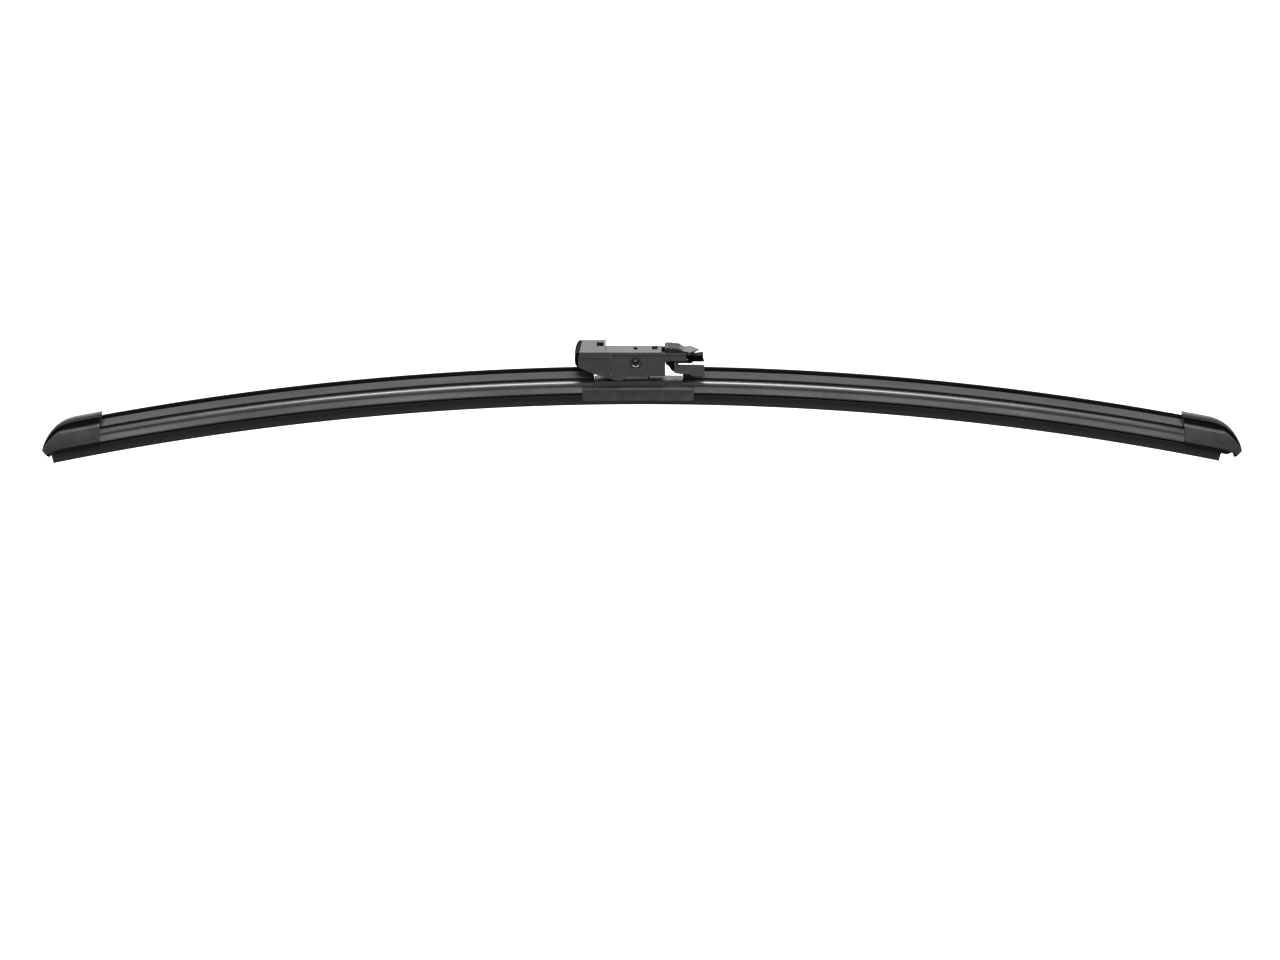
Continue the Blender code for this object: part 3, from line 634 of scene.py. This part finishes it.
def build_rivet():
    """Rivet with a deep conical recess in each end."""
    centre = joint_point("blade_pivot")
    half = high("pivot_rivet", 1)
    profile = [
        (0.0, half - 2.9), (0.5, half - 2.7), (0.9, half - 1.6), (1.5, half - 0.75), (2.0, half - 0.3),
        (2.3, half - 0.05), (2.42, half), (2.5, half - 0.1), (2.5, 0.0),
    ]
    profile += [(r, -y) for r, y in reversed(profile[:-1])]
    bm = bmesh.new()
    verts = [bm.verts.new(Vector((centre[0] + r, y, centre[1])) * MM) for r, y in profile]
    edges = [bm.edges.new(pair) for pair in zip(verts, verts[1:])]
    bmesh.ops.spin(
        bm, geom=verts + edges, cent=Vector((centre[0], 0.0, centre[1])) * MM, axis=(0.0, 1.0, 0.0),
        angle=2 * math.pi, steps=SPIN_STEPS, use_merge=True,
    )
    bmesh.ops.remove_doubles(bm, verts=bm.verts, dist=0.000002)
    piece = finished("dished_rivet", bm, [RIVET_STEEL])
    keep(piece, "blade", "pivot_rivet", slot="rivet_steel")


# ---------------------------------------------------------------- adapter

def shoulder_cut(name, start, end, side):
    """Cutter along the blade that leaves a thin seat edge on a rounded shoulder."""
    outline = [
        (8.0, 0.5), (6.45, 0.5), (6.45, -0.55), (6.5, -0.62), (6.65, -0.85), (6.76, -1.2), (6.82, -1.7),
        (6.86, -2.6), (8.0, -2.6),
    ]
    return extruded(name, [(side * y, z) for y, z in outline], start, end, axis="X")


def build_housing():
    """Adapter housing: overhanging seat, stepped walls, upper jaw, windows and the slider's tongue."""
    pivot = joint_point("blade_pivot")
    walls = [
        (-17.9, 0.0, 0.15), (9.5, 0.0, 0.15), (9.9, -0.35, 0.2), (21.8, -0.5, 0.9), (22.2, -4.4, 0.4),
        (12.2, -4.4, 0.8), (11.5, -5.2, 0.3), (11.5, -12.0, 0.6), (-7.5, -12.0, 1.5), (-9.5, -14.3, 1.0),
        (-12.5, -14.5, 1.0), (-15.0, -13.8, 0.4), (-15.2, -7.5, 2.5), (-17.6, -4.0, 2.5), (-17.9, -1.0, 0.5),
    ]
    piece = extruded("housing", fillet(walls, 0.2, steps=6), -ADAPTER_HALF, ADAPTER_HALF, [ADAPTER])
    tongue = box("tongue", (low("adapter_housing", 0), -3.0, -5.0), (-15.0, 3.0, -2.6))
    channel = [
        (-14.2, -1.5), (9.0, -1.5), (9.0, -4.65), (12.5, -4.65), (12.5, -20.0), (-19.0, -20.0),
        (-19.0, -6.0), (-14.2, -6.0),
    ]
    small_window = fillet([(-4.3, -1.2), (-2.3, -1.2), (-2.3, 3.4), (-4.3, 3.4)], 0.9)
    large_window = fillet([(4.9, -1.0), (7.7, -1.0), (7.7, 5.0), (4.9, 5.0)], 0.6)
    carved(piece, "UNION", tongue)
    carved(
        piece, "DIFFERENCE",
        shoulder_cut("front_shoulder", -18.5, 24.5, -1),
        shoulder_cut("rear_shoulder", -18.5, 24.5, 1),
        extruded("channel", channel, -CHANNEL_HALF, CHANNEL_HALF),
        box("tray", (9.8, -CHANNEL_HALF, -2.9), (21.4, CHANNEL_HALF, 2.0)),
        box("beak_way", (20.0, -CHANNEL_HALF, -2.45), (25.0, CHANNEL_HALF, 2.0)),
        box("stop_slot", (18.9, -2.8, -5.0), (25.0, 2.8, -1.0)),
        box("fork_slot", (13.7, -2.8, -5.0), (16.8, 2.8, -3.6)),
        extruded("small_window", small_window, -3.0, 1.0, axis="Z"),
        extruded("large_window", large_window, -1.2, 1.0, axis="Z"),
        cross_rod("bore", pivot, BORE_RADIUS, -8.0, 8.0),
        cross_rod("front_recess", pivot, RECESS_RADIUS, -8.0, -RECESS_FLOOR),
        cross_rod("rear_recess", pivot, RECESS_RADIUS, RECESS_FLOOR, 8.0),
    )
    for y in (-ADAPTER_HALF, ADAPTER_HALF):
        groove = fillet([(2.35, -2.6), (2.8, -2.6), (2.8, -8.6), (2.35, -8.6)], 0.2)
        tool = extruded("wall_groove", groove, y - WALL_GROOVE_DEPTH, y + WALL_GROOVE_DEPTH)
        carved(piece, "DIFFERENCE", tool)
    keep(piece, "adapter", "adapter_housing", slot="adapter_plastic")


def build_slider():
    """Locking slider: tilted top with a grip hole, walls outside the spoiler, and a near-black rounded end,
    partly a rubber bumper and partly painted shade of the end facing away from the light.
    """
    rim_outer = [
        (-31.0, 3.0, 0.5), (-32.2, 1.4, 1.4), (-33.1, -1.2, 1.6), (-33.4, -4.0, 1.8), (-32.9, -6.6, 1.0),
    ]
    rim_inner = [
        (-31.3, -7.6, 0.2), (-31.8, -4.2, 2.0), (-31.4, -1.2, 2.0), (-30.4, 1.2, 1.4), (-29.4, 3.0, 0.2),
    ]
    front = [
        (-26.9, -9.6, 3.0), (-22.9, -11.3, 2.0), (-21.3, -11.8, 1.0), (-15.04, -13.78, 0.1),
        (-15.24, -7.5, 2.5), (-17.64, -4.0, 2.5), (-17.94, -1.0, 0.5), (-17.96, 3.0, 0.2),
    ]
    seam = [(x + SEAM_GAP, z, size) for x, z, size in reversed(rim_inner)]
    body = extruded("slider", fillet(seam + front, 0.3, steps=6), -ADAPTER_HALF, ADAPTER_HALF, [ADAPTER])
    # The end band's near-black is partly a rubber bumper, partly painted shade.
    rim = extruded("slider_end", fillet(rim_outer + rim_inner, 0.3, steps=6), -6.75, 6.75, [STOP_AND_SHADE])
    above = [(-8.0, -0.6), (-6.85, -0.25), (-6.5, -0.12), (8.0, 3.05), (8.0, 6.0), (-8.0, 6.0)]
    hole = fillet([(-22.4, 0.4), (-19.1, 0.4), (-19.1, 4.4), (-22.4, 4.4)], 0.5)
    carved(
        body, "DIFFERENCE",
        extruded("tilted_top", above, -36.0, -14.0, axis="X"),
        shoulder_cut("slider_shoulder", -31.0, -14.0, -1),
        box("under_channel", (-36.0, -CHANNEL_HALF, -20.0), (-14.0, CHANNEL_HALF, -6.4)),
        box("tongue_pocket", (-31.0, -3.3, -5.3), (-14.0, 3.3, -2.3)),
        extruded("grip_hole", hole, -0.6, 4.0, axis="Z"),
    )
    carved(
        rim, "DIFFERENCE",
        extruded("tilted_top", [(y, z - 0.08) for y, z in above], -36.0, -14.0, axis="X"),
        box("under_channel", (-36.0, -CHANNEL_HALF, -20.0), (-14.0, CHANNEL_HALF, -6.4)),
    )
    keep(body, "slider", "lock_slider", slot="adapter_plastic")
    keep(rim, "slider", "lock_slider", slot="adapter_plastic")


def build_fork():
    """Lower jaw: a curved neck under the upper jaw, in near-black painted shade, and rounded end blocks
    beside the spoiler.
    """
    side = [
        (11.8, -4.7, 0.1), (17.0, -4.7, 0.1), (17.1, -6.75, 0.3), (30.9, -6.75, 0.5), (30.9, -10.6, 1.2),
        (29.4, -12.2, 1.8), (25.3, -12.2, 1.4), (23.8, -11.2, 0.8), (18.9, -11.1, 1.0), (16.4, -10.6, 2.0),
        (14.6, -9.6, 2.0), (13.2, -7.2, 1.0), (11.8, -6.6, 0.2),
    ]
    relief = [(18.0, -20.0), (18.0, -8.6), (24.5, -8.6), (25.5, -7.7), (33.0, -7.7), (33.0, -20.0)]
    recess = [(12.0, -7.5), (23.8, -7.5), (23.8, -14.0), (12.0, -14.0)]
    piece = extruded("jaw_fork", fillet(side, 0.3, steps=6), -ADAPTER_HALF, ADAPTER_HALF, [JAW, STOP_AND_SHADE])
    carved(
        piece, "DIFFERENCE",
        box("fork_mouth", (17.0, -4.2, -20.0), (33.0, 4.2, -4.0)),
        extruded("rear_relief", relief, 3.0, 9.0),
        extruded("fork_recess", fillet(recess, 0.6), -8.0, -6.4),
    )
    for y0, y1 in ((-9.0, -5.2), (5.2, 9.0)):
        carved(piece, "DIFFERENCE", box("neck_side", (10.0, y0, -20.0), (15.9, y1, -3.0)))
    carved(piece, "UNION", box("fork_key", (14.0, -2.5, -6.0), (16.5, 2.5, -3.9)))
    # Neck faces under the upper jaw take the near-black stop material: painted shade.
    for polygon in piece.data.polygons:
        if polygon.center.x < 16.0 * MM:
            polygon.material_index = 1
    keep(piece, "adapter", "lower_fork", slot="adapter_plastic")


def build_stop():
    """Black arm stop with a sloping top."""
    side = [
        (19.2, -2.9, 0.1), (25.0, -2.9, 0.3), (30.3, -2.2, 0.5), (30.3, -4.9, 0.5), (29.7, -5.5, 0.4),
        (23.3, -5.6, 0.3), (22.8, -5.0, 0.1), (22.8, -4.4, 0.1), (19.2, -4.4, 0.1),
    ]
    piece = extruded("arm_buffer", fillet(side, 0.2), -3.2, 3.2, [STOP_AND_SHADE])
    for y0, y1 in ((-9.0, -2.5), (2.5, 9.0)):
        carved(piece, "DIFFERENCE", box("shank_side", (18.0, y0, -8.0), (22.5, y1, 0.0)))
    keep(piece, "adapter", "arm_stop", slot="stop_rubber")


def build_latch():
    """Release latch: dark ribbed thumb pad and a lighter pointed beak."""
    side = [
        (11.2, -2.0, 0.2), (19.5, -2.0, 0.6), (22.5, -1.5, 0.6), (24.5, -1.2, 0.8), (28.4, -0.3, 0.1),
        (28.4, -0.05, 0.1), (20.6, 0.12, 0.4), (18.4, 1.6, 0.4), (12.4, 2.15, 0.5), (11.2, 1.6, 0.5),
    ]
    piece = extruded("thumb_latch", fillet(side, 0.3), -6.3, 6.3, [LATCH, LATCH_PAD])
    plan = [
        (10.0, 5.1), (22.5, 5.1), (22.5, 6.35), (23.7, 6.3), (24.5, 5.7), (25.4, 4.3), (26.6, 2.2),
        (27.6, 0.9), (29.4, 0.3), (29.4, 9.0), (10.0, 9.0),
    ]
    for sign in (-1, 1):
        half_plan = [(x, sign * y) for x, y in plan]
        carved(piece, "DIFFERENCE", extruded("plan", half_plan, -4.0, 4.0, axis="Z"))
    for k in range(RIB_COUNT):
        x = 13.3 + RIB_PITCH * k
        top = 2.15 - (x - 12.4) * 0.55 / 6.0
        valley = [
            (x - 0.42, top + 1.0), (x + 0.42, top + 1.0), (x + 0.2, top - 0.5), (x - 0.2, top - 0.5),
        ]
        carved(piece, "DIFFERENCE", extruded("rib_valley", valley, -6.0, 4.2))
    carved(piece, "UNION", cross_rod("trunnions", joint_point("latch_press"), TRUNNION_RADIUS, -6.0, 6.0))
    for polygon in piece.data.polygons:
        on_pad = polygon.center.x < PAD_END * MM
        normal = polygon.normal
        if on_pad and (abs(normal.y) > 0.7 or abs(normal.z) > 0.5 or polygon.center.z < 1.5 * MM):
            polygon.material_index = 1
    keep(piece, "latch", "release_latch", slot="latch_plastic")


def finish_cad_nodes():
    """Better materials on the CAD nodes that stay in view."""
    looks = {
        "connector_bracket": COATED_STEEL, "end_clip_left": CLIP_STEEL, "end_clip_right": CLIP_STEEL,
        "latch_spring": CLIP_STEEL, "pivot_bush_front": BUSH, "pivot_bush_rear": BUSH,
    }
    for name, material in looks.items():
        for place in frame["nodes"][name].material_slots:
            place.material = material


# ---------------------------------------------------------------- studio

def build_camera():
    """Long lens in front of the blade, a little above it."""
    elevation = math.radians(17.0)
    distance = 3.0
    aim = Vector((-0.001, 0.0, -0.0678))
    data = bpy.data.cameras.new("camera")
    data.lens = 169.3
    data.sensor_width = 36.0
    data.clip_start = 0.05
    camera = bpy.data.objects.new("camera", data)
    camera.location = aim + distance * Vector((0.0, -math.cos(elevation), math.sin(elevation)))
    camera.rotation_euler = (math.pi / 2 - elevation, 0.0, 0.0)
    bpy.context.scene.collection.objects.link(camera)
    bpy.context.scene.camera = camera


def softbox(name, place, aim, size, power):
    """Rectangular area light aimed at a point."""
    data = bpy.data.lights.new(name, "AREA")
    data.shape = "RECTANGLE"
    data.size, data.size_y = size
    data.energy = power
    lamp = bpy.data.objects.new(name, data)
    lamp.location = place
    direction = Vector(aim) - Vector(place)
    lamp.rotation_euler = direction.to_track_quat("-Z", "Y").to_euler()
    bpy.context.scene.collection.objects.link(lamp)


def build_studio():
    """White floor far below the blade, an overhead softbox, a back light and gentle fill in front."""
    floor_material, nodes, links, shader = node_tree("white_floor")
    shader.inputs["Base Color"].default_value = (0.9, 0.9, 0.9, 1.0)
    shader.inputs["Roughness"].default_value = 0.9
    shader.inputs["Emission Color"].default_value = (1.0, 1.0, 1.0, 1.0)
    shader.inputs["Emission Strength"].default_value = 1.0
    half = 14.0 / MM
    square = [(-half, -half), (half, -half), (half, half), (-half, half)]
    floor = extruded("floor", square, -620.0, -600.0, [floor_material], axis="Z")
    floor.visible_diffuse = False
    floor.visible_glossy = False
    world = bpy.data.worlds.new("studio")
    bpy.context.scene.world = world
    world.use_nodes = True
    world.node_tree.nodes["Background"].inputs["Color"].default_value = (1.0, 1.0, 1.0, 1.0)
    world.node_tree.nodes["Background"].inputs["Strength"].default_value = 0.35
    middle = (0.0, 0.0, 0.0)
    softbox("overhead", (0.0, 0.08, 1.2), middle, (0.85, 0.55), 39.0)
    softbox("back", (0.0, 1.35, 0.9), middle, (2.6, 0.9), 28.0)
    softbox("front_high", (0.0, -1.1, 1.3), middle, (1.2, 0.5), 5.0)
    softbox("front_left", (-1.15, -1.1, 1.3), middle, (0.9, 0.5), 9.0)
    softbox("front_right", (1.15, -1.1, 1.3), middle, (0.9, 0.5), 9.0)
    softbox("front_low", (0.0, -1.5, -0.55), middle, (1.3, 0.25), 8.0)
    bpy.context.scene.view_settings.view_transform = "Standard"


build_camera()
build_studio()
build_rubber()
build_rails()
build_spoilers()
build_caps()
build_cover()
build_rivet()
build_housing()
build_slider()
build_fork()
build_stop()
build_latch()
finish_cad_nodes()
